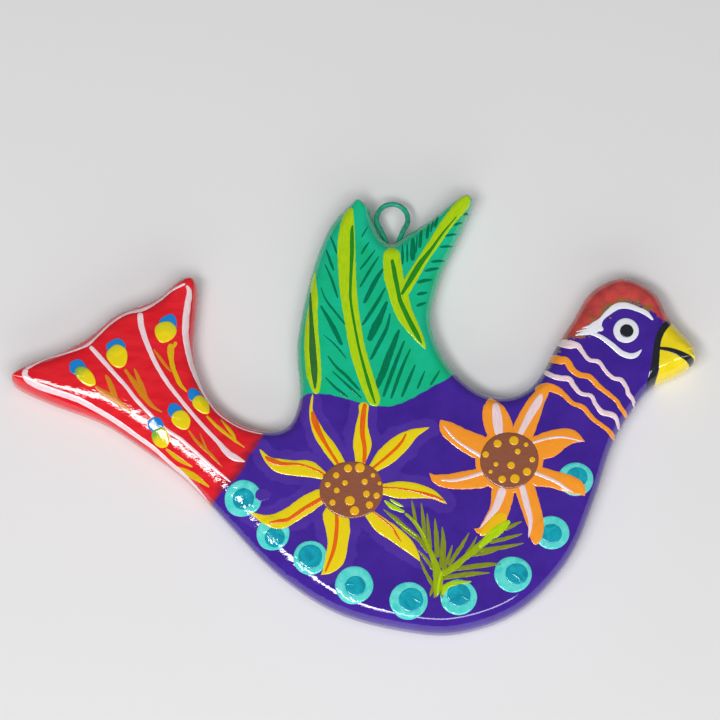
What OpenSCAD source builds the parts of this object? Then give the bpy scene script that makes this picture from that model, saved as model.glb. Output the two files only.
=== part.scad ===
// Painted ceramic dove ornament: a flat bird of fired clay with rolled edges, lying on its back,
// a wire hanging loop set in the notch of its wing, and raised dabs of paint on its face.
// Millimetres. +X runs from tail to beak, +Y from belly to wing, +Z out of the painted face.
// The origin is on the back face, under the middle of the bird.

/* [Clay bird] */
// Length from the beak to the tip of the tail
bird_l = 115; // [95:1:150]
// Thickness of the clay
bird_t = 6.5; // [5:0.1:9]
// How far the edge of the face rolls in from the side
face_roll_in = 2; // [1.4:0.1:2.6]
// How far the edge of the face rolls down the side
face_roll_down = 3.2; // [2:0.1:3.4]
// How far the edge of the back rolls in from the side
back_roll_in = 1.2; // [0.6:0.1:2]
// How far the edge of the back rolls up the side
back_roll_up = 1.4; // [0.6:0.1:1.6]
// Largest share of the half width of a narrow tip that a roll may take
roll_limit = 0.65; // [0.4:0.05:0.75]

/* [Hanging loop] */
// Diameter of the wire
wire_d = 0.9; // [0.6:0.05:1.1]
// Diameter of the eye inside the loop
eye_d = 4.4; // [4:0.1:5]
// Half of the angle that the loop leaves open over its legs
loop_gap = 50; // [46:1:56]
// Space between the two legs
leg_gap = 1.1; // [0.9:0.05:1.3]
// Length of the legs that shows above the clay
leg_show = 0.1; // [0:0.1:1]
// Length of the legs that is held in the clay
leg_hold = 8; // [5:0.5:12]
// Clearance of a leg in its hole
leg_fit = 0.1; // [0.06:0.01:0.15]

/* [Raised paint] */
// Thickness of a flat dab
dab_t = 0.3; // [0.15:0.05:0.6]
// Height of a bead on top of a dab
bead_h = 0.35; // [0.2:0.05:0.6]
// Diameter of a belly dot
dot_d = 6.3; // [5:0.1:7]
// Diameter of the bead in a belly dot
dot_bead_d = 3.7; // [2.5:0.1:4.5]
// Diameter of the white of the eye
eye_white_d = 4.2; // [3:0.1:5]
// Diameter of the pupil
pupil_d = 2.2; // [1.4:0.1:2.6]
// Length of a tail bud
bud_l = 4; // [3.2:0.1:4.6]
// Width of a tail bud
bud_w = 3; // [2.4:0.1:3.4]
// How far the tip of a bud shows past the bud
bud_tip = 1.3; // [0.8:0.1:1.8]

/* [Flowers] */
// Diameter of the middle of the sunflower
sunflower_disc_d = 10.4; // [8:0.1:12]
// Width of a sunflower petal
sunflower_petal_w = 4.2; // [3:0.1:5]
// Diameter of the middle of the daisy
daisy_disc_d = 9.6; // [8:0.1:11]
// Width of a daisy petal
daisy_petal_w = 4; // [3:0.1:4.6]
// How far a petal swings aside between its root and its tip
petal_swing = 1.1; // [0:0.1:1.6]
// Diameter of the largest seed
seed_d = 1.6; // [1:0.1:2]
// Number of seeds in each flower
seed_count = 14; // [8:1:18]

/* [Hidden] */
$fn = 64;
// Facets round a bead, which is a small cap of a large ball
bead_fn = 120;

// The places below are drawn for a bird of this length, and follow bird_l through this ratio.
drawn_l = 115;
k = bird_l / drawn_l;

// Bottom of the notch in the wing, where the hanging loop stands
notch = [6.5, 29.1];

// The outline runs counterclockwise as seen from the face.
head = [[50, 4.4], [54.2, 6.4], [57, 8.3], [57.5, 9.7], [56.8, 11.8], [53.4, 15.8], [50.8, 20.6],
        [45.5, 23.2], [40.2, 20.9], [36.9, 15.8], [34, 11.1], [31.6, 6.5]];
wing = [[28.6, 3.4], [24.6, 2.4], [20.3, 3.8], [15.6, 8.6], [13.1, 15.6], [14.5, 23], [17.6, 30], [19.7, 34.9],
        [20.2, 36.6], [19.2, 37.6], [17.3, 36.8], [13, 33.4], [9, 30.8], notch, [4.6, 30.4], [3.2, 33.4],
        [2.4, 35.7], [0.8, 36.8], [-0.9, 35.8], [-4.3, 31.7], [-7.3, 23.4], [-9.5, 11.8], [-9.1, 2.6]];
tail = [[-11.1, -2.5], [-15.4, -3.3], [-20.6, -1.2], [-24.8, 3.2], [-26.9, 10], [-26.6, 17], [-26.4, 21.5],
        [-27.5, 23.1], [-29.8, 22.5], [-33, 19.7], [-36.4, 18.2], [-40.4, 16.5], [-44.5, 13], [-49, 10.4],
        [-55, 8], [-57.5, 5.9], [-55.8, 4], [-50, 1.4], [-42, -1.7], [-34.4, -6.7], [-28.2, -11.3]];
belly = [[-21.9, -17.9], [-13.2, -27], [-2.9, -33.9], [9, -37.1], [18, -37.3], [27.9, -33.4], [35.7, -25.1],
         [40, -15.4], [43.3, -5.6], [46.8, 0.4]];
spline_steps = 3;
bend_steps = 5;
loop_steps = 36;
wire_sides = 14;
// How far a hole runs on past the top of its leg, to clear the slope of the notch
hole_mouth = 1;

// Places of the painted dabs on the face
dot_places = [[-18.2, -15.1], [-13.1, -21.1], [-7.1, -25.4], [0, -30.4], [9.4, -32.7], [17.8, -32.2],
              [26.8, -28.4], [33.2, -21.4], [37.3, -12.2]];
sunflower = [-0.2, -13.9];
daisy = [26.2, -8.9];
eye = [45.7, 13.6];
// Each bud: its middle and the way that its tip points
buds = [[-31.5, 13.5, 80], [-39.4, 9.2, 100], [-44.8, 5.9, 130],
        [-26.2, 0.2, 122], [-28.9, -2.2, 118], [-32.2, -4.8, 120]];
// The way that each petal points, and how far its tip reaches from the middle of its flower
sunflower_headings = [-7, 38, 81, 114, 156, 198, 252, 314];
sunflower_reaches = [16.2, 16.6, 14.9, 17.2, 16.4, 17, 15.4, 16.8];
daisy_headings = [15, 62, 107, 150, 191, 245, 287, 333];
daisy_reaches = [13.1, 13.3, 11.6, 13.4, 13.6, 13, 14.9, 13.7];
golden_angle = 137.5;
petal_steps = 10;
// Where along its outline a petal comes out from under the middle of its flower
petal_root = 0.1;
// How blunt the petals are: a larger power keeps the width for longer
sunflower_blunt = 2;
daisy_blunt = 4;
// How much of the middle of a flower the seeds cover, and the size of the innermost seed
seed_spread = 0.92;
inner_seed = 0.6;
// How much fuller an egg is at its round end
egg_fullness = 0.15;
tiny = 0.001;

// A point of the smooth curve through b and c, with neighbours a and d
function spline(a, b, c, d, t) =
    ((2 * b) + (c - a) * t + (2 * a - 5 * b + 4 * c - d) * t ^ 2 + (3 * b - a - 3 * c + d) * t ^ 3) / 2;

function at(list, i) = list[(i + len(list)) % len(list)];

function smooth_loop(list, steps) =
    [for (i = [0 : len(list) - 1], s = [0 : steps - 1])
        spline(at(list, i - 1), list[i], at(list, i + 1), at(list, i + 2), s / steps)];

function inward(loop, i) = let (d = at(loop, i + 1) - at(loop, i - 1)) [-d.y, d.x] / norm(d);

// Radius of the largest circle inside the loop that touches it at place i
function half_width(loop, i) =
    let (way = inward(loop, i))
    min([for (p = loop) let (d = p - loop[i], rise = way * d) if (rise > tiny) d * d / (2 * rise)]);

// True where the corner at place j of the loop can be cut off as a triangle
function is_ear(points, loop, j) =
    let (a = points[at(loop, j - 1)], b = points[loop[j]], c = points[at(loop, j + 1)])
    cross(b - a, c - b) > 0
    && len([for (i = loop) let (p = points[i])
        if (p != a && p != b && p != c
            && cross(b - a, p - a) >= 0 && cross(c - b, p - b) >= 0 && cross(a - c, p - c) >= 0) i]) == 0;

function next_ear(points, loop, j) =
    is_ear(points, loop, j % len(loop)) ? j % len(loop) : next_ear(points, loop, j + 1);

// Triangles that fill a flat counterclockwise loop, cut off ear by ear
function fill(points, loop, start = 0, done = []) =
    len(loop) == 3 ? concat(done, [loop])
    : let (j = next_ear(points, loop, start), ear = [at(loop, j - 1), loop[j], at(loop, j + 1)])
      fill(points, [for (i = [0 : len(loop) - 1]) if (i != j) loop[i]], j + 1, concat(done, [ear]));

outline = smooth_loop(concat(head, wing, tail, belly) * k, spline_steps);
// The section of the edge from back to face: how far in from the side, and how high
back_edge = [for (a = [0 : 30 : 90]) [back_roll_in * (1 - sin(a)), back_roll_up * (1 - cos(a))]];
face_edge = [for (a = [0 : 18 : 90])
    [face_roll_in * (1 - cos(a)), bird_t - face_roll_down * (1 - sin(a))]];
edge = concat(back_edge, face_edge);
places = [for (i = [0 : len(outline) - 1]) i];
// Share of the full roll at each place of the outline, less at the narrow tips
widest_roll = max(face_roll_in, back_roll_in);
roll = [for (i = places) min(1, roll_limit * half_width(outline, i) / widest_roll)];
// The outline moved in by a share of the roll
function ring(inset) = [for (i = places) outline[i] + inward(outline, i) * inset * roll[i]];

loop_r = (eye_d + wire_d) / 2;
leg_x = (wire_d + leg_gap) / 2;
leg_turn = 90 - loop_gap;
bend_r = (loop_r * cos(leg_turn) - leg_x) / (1 - cos(leg_turn));
legs_top = (loop_r + bend_r) * sin(leg_turn);
loop_place = [notch.x * k, notch.y * k + leg_show + legs_top, bird_t / 2];
leg_l = leg_show + leg_hold;

module bird() {
    count = len(outline);
    last = len(edge) - 1;
    points = [for (e = edge, p = ring(e.x)) [p.x, p.y, e.y]];
    sides = [for (r = [0 : last - 1], i = places)
        let (a = r * count + i, b = r * count + (i + 1) % count)
        each [[a, a + count, b], [b, a + count, b + count]]];
    back = fill(ring(edge[0].x), places);
    face = [for (f = fill(ring(edge[last].x), places)) [f[2], f[1], f[0]] + [1, 1, 1] * last * count];
    polyhedron(points, concat(back, sides, face));
}

module leg_holes() {
    for (side = [-1, 1])
        translate(loop_place + [side * leg_x, hole_mouth - legs_top, 0])
            rotate([90, 0, 0]) cylinder(d = wire_d + 2 * leg_fit, h = hole_mouth + leg_l);
}

module clay_body() {
    color("#44289a") difference() {
        bird();
        leg_holes();
    }
}

// The bent wire: its middle line is a list of places, each with the way that the wire runs there
module hanger_loop() {
    bend = [(loop_r + bend_r) * cos(leg_turn), -legs_top];
    foot = -legs_top - leg_l;
    bend_angles = [for (i = [0 : bend_steps]) leg_turn * i / bend_steps];
    loop_angles = [for (i = [1 : loop_steps - 1]) (180 + 2 * leg_turn) * i / loop_steps - leg_turn];
    path = concat(
        [[leg_x, foot, 90]],
        [for (a = bend_angles) [bend.x - bend_r * cos(a), bend.y + bend_r * sin(a), 90 - a]],
        [for (a = loop_angles) [loop_r * cos(a), loop_r * sin(a), a + 90]],
        [for (a = bend_angles)
            let (b = leg_turn - a)
            [bend_r * cos(b) - bend.x, bend.y + bend_r * sin(b), b - 90]],
        [[-leg_x, foot, -90]]);
    points = [for (p = path, i = [0 : wire_sides - 1])
        let (a = 360 * i / wire_sides, out = wire_d / 2 * cos(a))
        [p[0] - out * sin(p[2]), p[1] + out * cos(p[2]), wire_d / 2 * sin(a)]];
    last = (len(path) - 1) * wire_sides;
    sides = [for (r = [0 : len(path) - 2], i = [0 : wire_sides - 1])
        let (a = r * wire_sides + i, b = r * wire_sides + (i + 1) % wire_sides)
        each [[a, a + wire_sides, b], [b, a + wire_sides, b + wire_sides]]];
    ends = [[for (i = [0 : wire_sides - 1]) i], [for (i = [wire_sides - 1 : -1 : 0]) last + i]];
    color("#1f9c78") translate(loop_place) polyhedron(points, concat(sides, ends));
}

// A flat dab of paint, kept to the flat part of the face
module dab() {
    translate([0, 0, bird_t]) linear_extrude(dab_t) intersection() {
        children();
        polygon(ring(face_roll_in));
    }
}

// A round bead of paint on top of a dab
module bead(d) {
    r = (d ^ 2 / 4 + bead_h ^ 2) / (2 * bead_h);
    translate([0, 0, bird_t + dab_t]) intersection() {
        translate([0, 0, bead_h - r]) sphere(r, $fn = bead_fn);
        cylinder(d = d + bead_h, h = bead_h);
    }
}

// A petal that starts at the middle of its flower, swings aside and narrows to its tip.
// A blunt petal keeps its width for longer.
module petal(reach, root, w, blunt) {
    l = reach - root;
    shares = [for (i = [0 : petal_steps]) i / petal_steps];
    half = [for (s = shares) w / 2 * (1 - abs(2 * (petal_root + (1 - petal_root) * s) - 1) ^ blunt)];
    middle = [for (s = shares) [root + l * s, petal_swing * 4 * s * (1 - s)]];
    polygon(concat([[0, -half[0]]], [for (i = [0 : petal_steps]) middle[i] - [0, half[i]]],
                   [for (i = [petal_steps - 1 : -1 : 0]) middle[i] + [0, half[i]]], [[0, half[0]]]));
}

module sunflower_shape() {
    for (i = [0 : len(sunflower_headings) - 1]) translate(sunflower * k) rotate(sunflower_headings[i])
        petal(sunflower_reaches[i] * k, sunflower_disc_d / 2, sunflower_petal_w, sunflower_blunt);
}

module daisy_shape() {
    for (i = [0 : len(daisy_headings) - 1]) translate(daisy * k) rotate(daisy_headings[i])
        petal(daisy_reaches[i] * k, daisy_disc_d / 2, daisy_petal_w, daisy_blunt);
}

module discs_shape() {
    translate(sunflower * k) circle(d = sunflower_disc_d);
    translate(daisy * k) circle(d = daisy_disc_d);
}

module belly_dots() {
    color("#4fd6cf") dab() difference() {
        for (p = dot_places) translate(p * k) circle(d = dot_d);
        sunflower_shape();
        daisy_shape();
    }
}

module belly_dot_beads() {
    color("#0f9fb2") for (p = dot_places) translate(p * k) bead(dot_bead_d);
}

module sunflower_petals() {
    color("#f0d60a") dab() difference() {
        sunflower_shape();
        discs_shape();
    }
}

module daisy_petals() {
    color("#f89a24") dab() difference() {
        daisy_shape();
        sunflower_shape();
        discs_shape();
    }
}

module flower_discs() {
    color("#7c4a48") dab() discs_shape();
}

// Seeds spread from the middle of each flower by the golden angle, the outer ones larger
module flower_seeds() {
    flowers = [[sunflower, sunflower_disc_d], [daisy, daisy_disc_d]];
    color("#f2ae10") for (f = flowers, i = [0 : seed_count - 1])
        let (s = sqrt((i + 0.5) / seed_count))
        translate(f[0] * k) rotate(i * golden_angle) translate([s * seed_spread * (f[1] - seed_d) / 2, 0])
            bead(seed_d * (inner_seed + (1 - inner_seed) * s));
}

// An egg whose round end points along +X
module egg(l, w) {
    polygon([for (a = [0 : 15 : 345]) [l / 2 * cos(a), w / 2 * sin(a) * (1 + egg_fullness * cos(a))]]);
}

module buds_shape(shift) {
    for (b = buds) translate([b[0], b[1]] * k) rotate(b[2]) translate([shift, 0]) egg(bud_l, bud_w);
}

module tail_buds() {
    color("#f0dc10") dab() buds_shape(0);
}

module tail_bud_tips() {
    color("#1583cf") dab() difference() {
        buds_shape(bud_tip);
        buds_shape(0);
    }
}

module eye_white() {
    color("#f4f4f2") dab() translate(eye * k) circle(d = eye_white_d);
}

module eye_pupil() {
    color("#16181c") translate(eye * k) bead(pupil_d);
}

clay_body();
hanger_loop();
belly_dots();
belly_dot_beads();
sunflower_petals();
daisy_petals();
flower_discs();
flower_seeds();
tail_buds();
tail_bud_tips();
eye_white();
eye_pupil();
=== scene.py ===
"""Painted ceramic dove ornament: the looks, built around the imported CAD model.

The clay bird is rebuilt from the outline of its CAD node with soft, hand-smoothed edges, and every dab
and stroke of paint is laid on its surface as raised geometry. Lengths are millimetres, scaled by MM,
except on the stage, which is in metres. Angles are degrees.
"""

import math
import random

import bpy
import numpy as np
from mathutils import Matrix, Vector, geometry, noise
from mathutils.bvhtree import BVHTree


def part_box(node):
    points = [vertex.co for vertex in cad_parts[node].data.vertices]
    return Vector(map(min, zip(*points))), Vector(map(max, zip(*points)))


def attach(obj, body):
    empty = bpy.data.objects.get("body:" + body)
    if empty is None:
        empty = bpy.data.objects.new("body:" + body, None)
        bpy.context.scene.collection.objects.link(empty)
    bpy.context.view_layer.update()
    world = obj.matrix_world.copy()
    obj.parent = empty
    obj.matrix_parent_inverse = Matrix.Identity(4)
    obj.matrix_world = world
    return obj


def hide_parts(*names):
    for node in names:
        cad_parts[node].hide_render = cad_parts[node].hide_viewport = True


MM = 0.001

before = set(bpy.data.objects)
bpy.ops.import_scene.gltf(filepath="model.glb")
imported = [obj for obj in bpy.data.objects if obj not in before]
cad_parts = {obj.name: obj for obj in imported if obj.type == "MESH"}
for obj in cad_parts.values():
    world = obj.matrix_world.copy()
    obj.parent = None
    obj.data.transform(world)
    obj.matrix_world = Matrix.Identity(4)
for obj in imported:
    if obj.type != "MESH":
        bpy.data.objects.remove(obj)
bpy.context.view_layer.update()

# Camera
VIEW_ELEVATION = 75.8
VIEW_DISTANCE = 700
VIEW_TARGET = (1.03, 9.03, 3.5)
VIEW_WIDTH = 121.2
SENSOR = 36

# Stage. A light has azimuth, elevation, distance, width, height, power and whether the gloss shows it
FLOOR_SIZE = 4
FLOOR_COLOUR = (226, 225, 226)
WORLD_STRENGTH = 0.1
LIGHTS = {
    "window": (228, 65, 0.6, 0.27, 0.11, 1.35, True),
    "strip": (280, 60, 0.6, 0.45, 0.11, 0.9, True),
    "low_panel": (278, 20, 1.2, 1.8, 0.8, 7.8, False),
    "overhead": (310, 80, 1.2, 0.9, 0.9, 3.9, False),
}

# Clay. The edge rolls in further where the spans say, and by a limited share of the room at thin tips
CLAY_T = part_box("clay_body")[1].z / MM
ROLL_IN = 2.5
HEAD_ROLL_IN = 2.8
TAIL_ROLL_IN = 6
ROLL_DOWN = 3.2
BACK_ROLL_IN = 1.2
BACK_ROLL_UP = 1.4
ROLL_LIMIT = 0.65
TAIL_ROLL_LIMIT = 0.85
TAIL_SPAN = (2, 24)
NEAR_EDGE_WAY = (0.52, 0.86)
NEAR_EDGE_SPAN = (0.35, 0.9)
NECK_SPAN = (30, 40)
CHEEK_SPAN = (0, 8)
ROLL_SMOOTHING = 24
FACE_RINGS = 16
BACK_RINGS = 6
CROWN = 0.3
CROWN_REACH = 5
SWELL = 0.08
SWELL_SIZE = 13
RIPPLE = 0.03
RIPPLE_SIZE = 4.5
BRUSHED = 0.65
BRUSHED_SPAN = (-18, 10)
GRID = 0.6
BACK_GRID = 1.6
GRID_MARGIN = 0.6
OUTLINE_STEPS = 6
SIDE_TOP = CLAY_T - ROLL_DOWN

# Paint: how thick it stands, how it is meshed, and the number of specks
STROKE_T = 0.07
THIN_T = 0.025
QUILL_T = 0.08
LINE_T = 0.05
MIDLINE_T = 0.06
PETAL_T = 0.09
SMEAR_T = 0.04
TOUCH_T = 0.06
BUD_T = 0.12
BUD_TIP_T = 0.08
EYE_T = 0.12
PUPIL_T = 0.15
DOT_T = 0.15
DOT_CENTRE_T = 0.12
DOT_RIDGE_T = 0.16
DISC_T = 0.16
SEED_T = 0.14
STROKE_STEP = 0.4
COLUMN_W = 0.3
THINNEST = 0.015
SINK = 0.03
LOWEST = 0.4
RAGGED = 0.08
UV_SIZE = 10
END_SHARES = np.array([0, 0.04, 0.15, 0.35, 0.65])
DAB_SIDES = 36
DAB_RINGS = [(1, 0), (0.985, 0.35), (0.95, 0.65), (0.88, 0.86), (0.72, 0.97), (0.4, 1), (0, 1)]
SPECKS = 240

# The two colours that each paint runs between, then its varnish and its wet colour where they are set
THIN_COAT = 0.25
PAINTS = {
    "dark_green": ((0, 104, 70), (4, 124, 86), THIN_COAT),
    "lime": ((148, 202, 2), (194, 218, 6)),
    "leaf_green": ((32, 128, 30), (44, 140, 34), THIN_COAT),
    "shade_green": ((40, 98, 44), (58, 112, 56), THIN_COAT),
    "white": ((236, 240, 246), (228, 226, 236)),
    "pale_pink": ((244, 226, 228), (230, 196, 206)),
    "orange": ((246, 146, 30), (250, 160, 48)),
    "yellow": ((228, 204, 6), (238, 214, 16)),
    "ochre_stem": ((208, 112, 28), (196, 138, 30), THIN_COAT),
    "light_stem": ((206, 152, 22), (214, 186, 20), THIN_COAT),
    "red_orange": ((226, 78, 6), (234, 116, 8)),
    "blue": ((16, 118, 200), (24, 134, 214)),
    "brown": ((136, 77, 55), (148, 90, 66)),
    "ochre": ((232, 168, 16), (240, 186, 24)),
    "olive": ((112, 124, 36), (140, 152, 26), THIN_COAT),
    "moss": ((136, 154, 24), (158, 186, 14), THIN_COAT),
    "bud": ((228, 204, 6), (238, 214, 16), 1.0, (92, 168, 62)),
    "violet": ((72, 40, 154), (80, 47, 162)),
    "amber": ((250, 176, 20), (226, 196, 10)),
    "speck": ((112, 92, 46), (150, 116, 44)),
    "black": ((20, 24, 30), (34, 40, 46)),
}
DOT_PAINTS = {
    "turquoise": ((58, 206, 200), (112, 224, 216)),
    "teal": ((0, 136, 162), (12, 174, 190)),
}

# How far paint other than the hatching lies from its places below: left, more by the flowers, and down
HEAD_SPAN = (36, 44)
UPPER_SPAN = (-4, 8)
LEFT = 0.08
UPPER_LEFT = 0.1
FLOWER_LEFT = 0.28
FLOWER_UPPER_LOSS = 0.4
FLOWER_X = 19.6
FLOWER_REACH = 18.4
DOWN_RATE = 0.0132
DOWN_FROM = -19.8
DOWN_TOP = 14
DOWN_HEAD_LOSS = 0.35

# Boundaries of the base coats, as closed loops that run past the edge of the clay
WING_ZONE = [
    (-12, 1.8), (-9.1, 2.1), (-7.5, 2.8), (-5.3, 2.7), (-2.4, 2.2), (0.8, 1.2), (3.7, 0.6), (6.7, 0.6),
    (8.7, 1.2), (11.8, 3), (14.8, 4.6), (16.6, 6), (18.4, 8), (21, 12), (26, 42), (-12, 42),
]
TAIL_ZONE = [
    (-13, 0), (-15, -4.2), (-15.9, -5.8), (-17.9, -9.3), (-19.5, -12.1), (-21.3, -13.5), (-23.7, -16.2),
    (-26, -19), (-62, -4), (-62, 26), (-20, 26),
]
CROWN_ZONE = [
    (32, 12), (34.8, 12.5), (37.8, 12.5), (38.7, 13.2), (40.2, 14.8), (41.7, 16.5), (42.8, 17.7),
    (44.5, 18.4), (46.4, 18.6), (48.2, 18.1), (50.1, 16.9), (55, 15), (54, 27), (36, 27),
]
BEAK_ZONE = [
    (54.6, 17.2), (53.5, 15.6), (52.3, 14), (51.5, 12.1), (51.1, 10.5), (51.1, 8.6), (51.1, 6.7),
    (50.5, 4.8), (49, 1.5), (62, 2), (62, 18),
]

# Brush strokes, each a row of places along its middle line: x, y and width
QUILLS = [
    [(-6.4, 24.3, 0.2), (-6.6, 22, 1), (-6.5, 19.2, 1.4), (-6.8, 17, 1.8), (-6.9, 13.4, 2.4),
     (-6.8, 10.3, 2.7), (-6.5, 6.3, 2.6), (-6.2, 3.8, 1.6), (-6.1, 2.7, 0.6)],
    [(-0.2, 35.4, 0.7), (-0.7, 33.8, 1.9), (-1, 30.3, 2.9), (-1, 26.2, 3.1), (-0.8, 22, 3),
     (-0.6, 19.7, 2.9), (0, 15.5, 2.7), (0.9, 10.3, 2.7), (2.4, 5.1, 2.6), (3.6, 1.7, 2.2),
     (4.1, 0.5, 0.8)],
    [(6.5, 28.4, 2.3), (6.7, 26.6, 3), (6.9, 23.6, 3.4), (7.6, 20.7, 3.2), (8, 19.3, 3.3), (8.7, 17, 3),
     (9.9, 14.8, 2.5), (11, 13, 1.8), (12, 11.2, 0.8), (12.3, 10.5, 0.25)],
    [(19.9, 37.4, 1.3), (18.6, 35.8, 2.3), (16.2, 32.7, 2.1), (14, 29.3, 1.9), (11.8, 25.9, 1.8),
     (9.8, 22.5, 2), (8.5, 20, 1.8)],
]
LEAF_HEART = [
    (-7.1, 20.7, 0.2), (-7.1, 18.5, 0.5), (-6.9, 14.5, 0.8), (-6.7, 10.3, 1.2), (-6.4, 6.3, 1.1),
    (-6.3, 3.6, 0.3),
]
QUILL_MIDLINES = [
    [(0, 32.2, 0.3), (-0.1, 30.6, 0.75), (-0.1, 27.5, 0.8), (-0.2, 25, 0.65), (-0.35, 21.3, 0.55),
     (-0.3, 18.9, 0.5), (0.2, 15.5, 0.5), (1.1, 10.7, 0.5), (2.1, 6.7, 0.6), (2.9, 3.8, 0.7),
     (3.8, 0.9, 0.3)],
    [(6.7, 26.2, 0.6), (7.2, 23.4, 0.85), (7.8, 20.3, 0.75), (8.1, 18.9, 0.8), (9.3, 16.2, 0.9),
     (10.8, 13.2, 0.9), (11.7, 11.5, 0.3)],
    [(17.7, 33.7, 0.2), (15.2, 30.6, 0.4), (13.4, 28, 0.6), (11.4, 25.3, 1), (9.8, 22.6, 0.95),
     (8.3, 20, 0.5)],
]
TAIL_LINES = [
    [(-44.1, 11.1, 0.75), (-42.1, 8.8, 0.85), (-39.9, 6.2, 0.8), (-37.8, 3.8, 0.75), (-36.5, 2, 0.75),
     (-33.8, -1, 0.7), (-31.4, -3.4, 0.75), (-28.9, -5.1, 0.75), (-26.2, -7.5, 0.7), (-23.7, -9.8, 0.7),
     (-20.4, -12.6, 0.3)],
    [(-35.8, 17, 1), (-35.5, 14.6, 1.05), (-34.6, 11.7, 0.9), (-33.1, 8.2, 0.8), (-31.2, 4.9, 0.75),
     (-29.3, 2.3, 0.7), (-27.1, -0.5, 0.7), (-24.9, -3.1, 0.7), (-22.6, -5.6, 0.75), (-20.9, -7.6, 1.2),
     (-19.5, -8.5, 1.1), (-18, -9.1, 0.25)],
    [(-28, 21.7, 0.4), (-27.5, 20.5, 0.95), (-27.8, 18.3, 1.1), (-28.1, 15.2, 1.2), (-28, 12.4, 1.1),
     (-27.3, 8.8, 0.95), (-26.4, 6.2, 0.85), (-25.4, 3.9, 0.55), (-24.4, 2, 0.35), (-22.6, -0.5, 0.3),
     (-20.1, -2.4, 0.25), (-17.7, -3.5, 0.25), (-15.2, -4.1, 0.2)],
    [(-28.2, 22, 0.5), (-30.6, 20.8, 0.45), (-33, 18.9, 0.5), (-35.3, 17.6, 0.75), (-38.1, 16.9, 0.5),
     (-40.7, 15.2, 0.5), (-42.7, 13.2, 0.45), (-44.4, 11.5, 0.65), (-46.3, 10.6, 0.45), (-49.2, 9.7, 0.4),
     (-51.3, 9.2, 0.4), (-53.3, 8, 0.45), (-54.8, 7.2, 0.85)],
    [(-54.8, 7.2, 0.95), (-54.8, 5.7, 1.1), (-52.7, 4.3, 1.1), (-49.3, 3.1, 1), (-45.9, 1.9, 1),
     (-42.4, 0, 0.85), (-39.4, -1.9, 0.8), (-36.5, -4, 0.7), (-33.4, -6.3, 0.65), (-30.7, -8.7, 0.55),
     (-28.2, -10.9, 0.5), (-25.7, -13.6, 0.4), (-24.1, -15.6, 0.25)],
]
STEMS = [
    [(-43.1, 4.1, 0.4), (-41.9, 3.1, 0.95), (-40.5, 2.2, 1.2), (-38.8, 1, 0.85), (-37, -0.3, 0.25)],
    [(-41.4, 6, 0.35), (-40.7, 4.7, 0.95), (-40, 2.8, 1), (-39.3, 1.2, 0.65), (-38.6, 0.1, 0.25)],
    [(-38.2, 7, 0.5), (-37.1, 5.4, 0.8), (-35.7, 3.4, 1.2), (-34.2, 1.3, 0.9), (-33.2, 0.3, 0.6),
     (-31.9, -0.5, 0.2)],
    [(-36.6, 7.1, 0.25), (-36, 5.7, 0.75), (-35.2, 3.6, 0.95), (-34.5, 1.8, 0.75), (-33.8, 0.7, 0.25)],
    [(-33.4, 10.5, 0.2), (-32.3, 9, 0.7), (-31.3, 7.6, 0.65), (-30.3, 6.6, 0.35)],
    [(-27.5, -3.6, 0.4), (-26.2, -5.5, 0.65), (-24.4, -7.2, 0.7), (-23, -8.7, 0.55), (-21.8, -10, 0.15)],
    [(-25.6, -4.1, 0.15), (-25, -5.6, 0.4), (-24.3, -7.1, 0.25)],
]
LIGHT_STEMS = [
    [(-30.6, 11.5, 1), (-30.5, 10.2, 1.2), (-30.4, 8.5, 0.9), (-29.8, 6.5, 0.75), (-28.9, 4.4, 0.75),
     (-27.7, 3, 0.2)],
    [(-29.8, 11.9, 0.5), (-29.8, 11.5, 0.8), (-30.2, 10.7, 0.5)],
    [(-24.5, -1.1, 0.4), (-23.1, -2.6, 0.65), (-21.4, -4.1, 0.7), (-19.5, -5.6, 0.55), (-18.1, -6.6, 0.15)],
    [(-22.1, -1.7, 0.15), (-21, -3.1, 0.7), (-20, -4.5, 0.6), (-19.5, -5.5, 0.2)],
    [(-31.3, -6.6, 0.4), (-29.9, -7.8, 0.85), (-28.5, -8.8, 0.8), (-26.8, -9.8, 0.25)],
    [(-29.6, -9.5, 0.25), (-28, -10.4, 0.95), (-26.1, -11.6, 1), (-24, -13.2, 0.25)],
]
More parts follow.
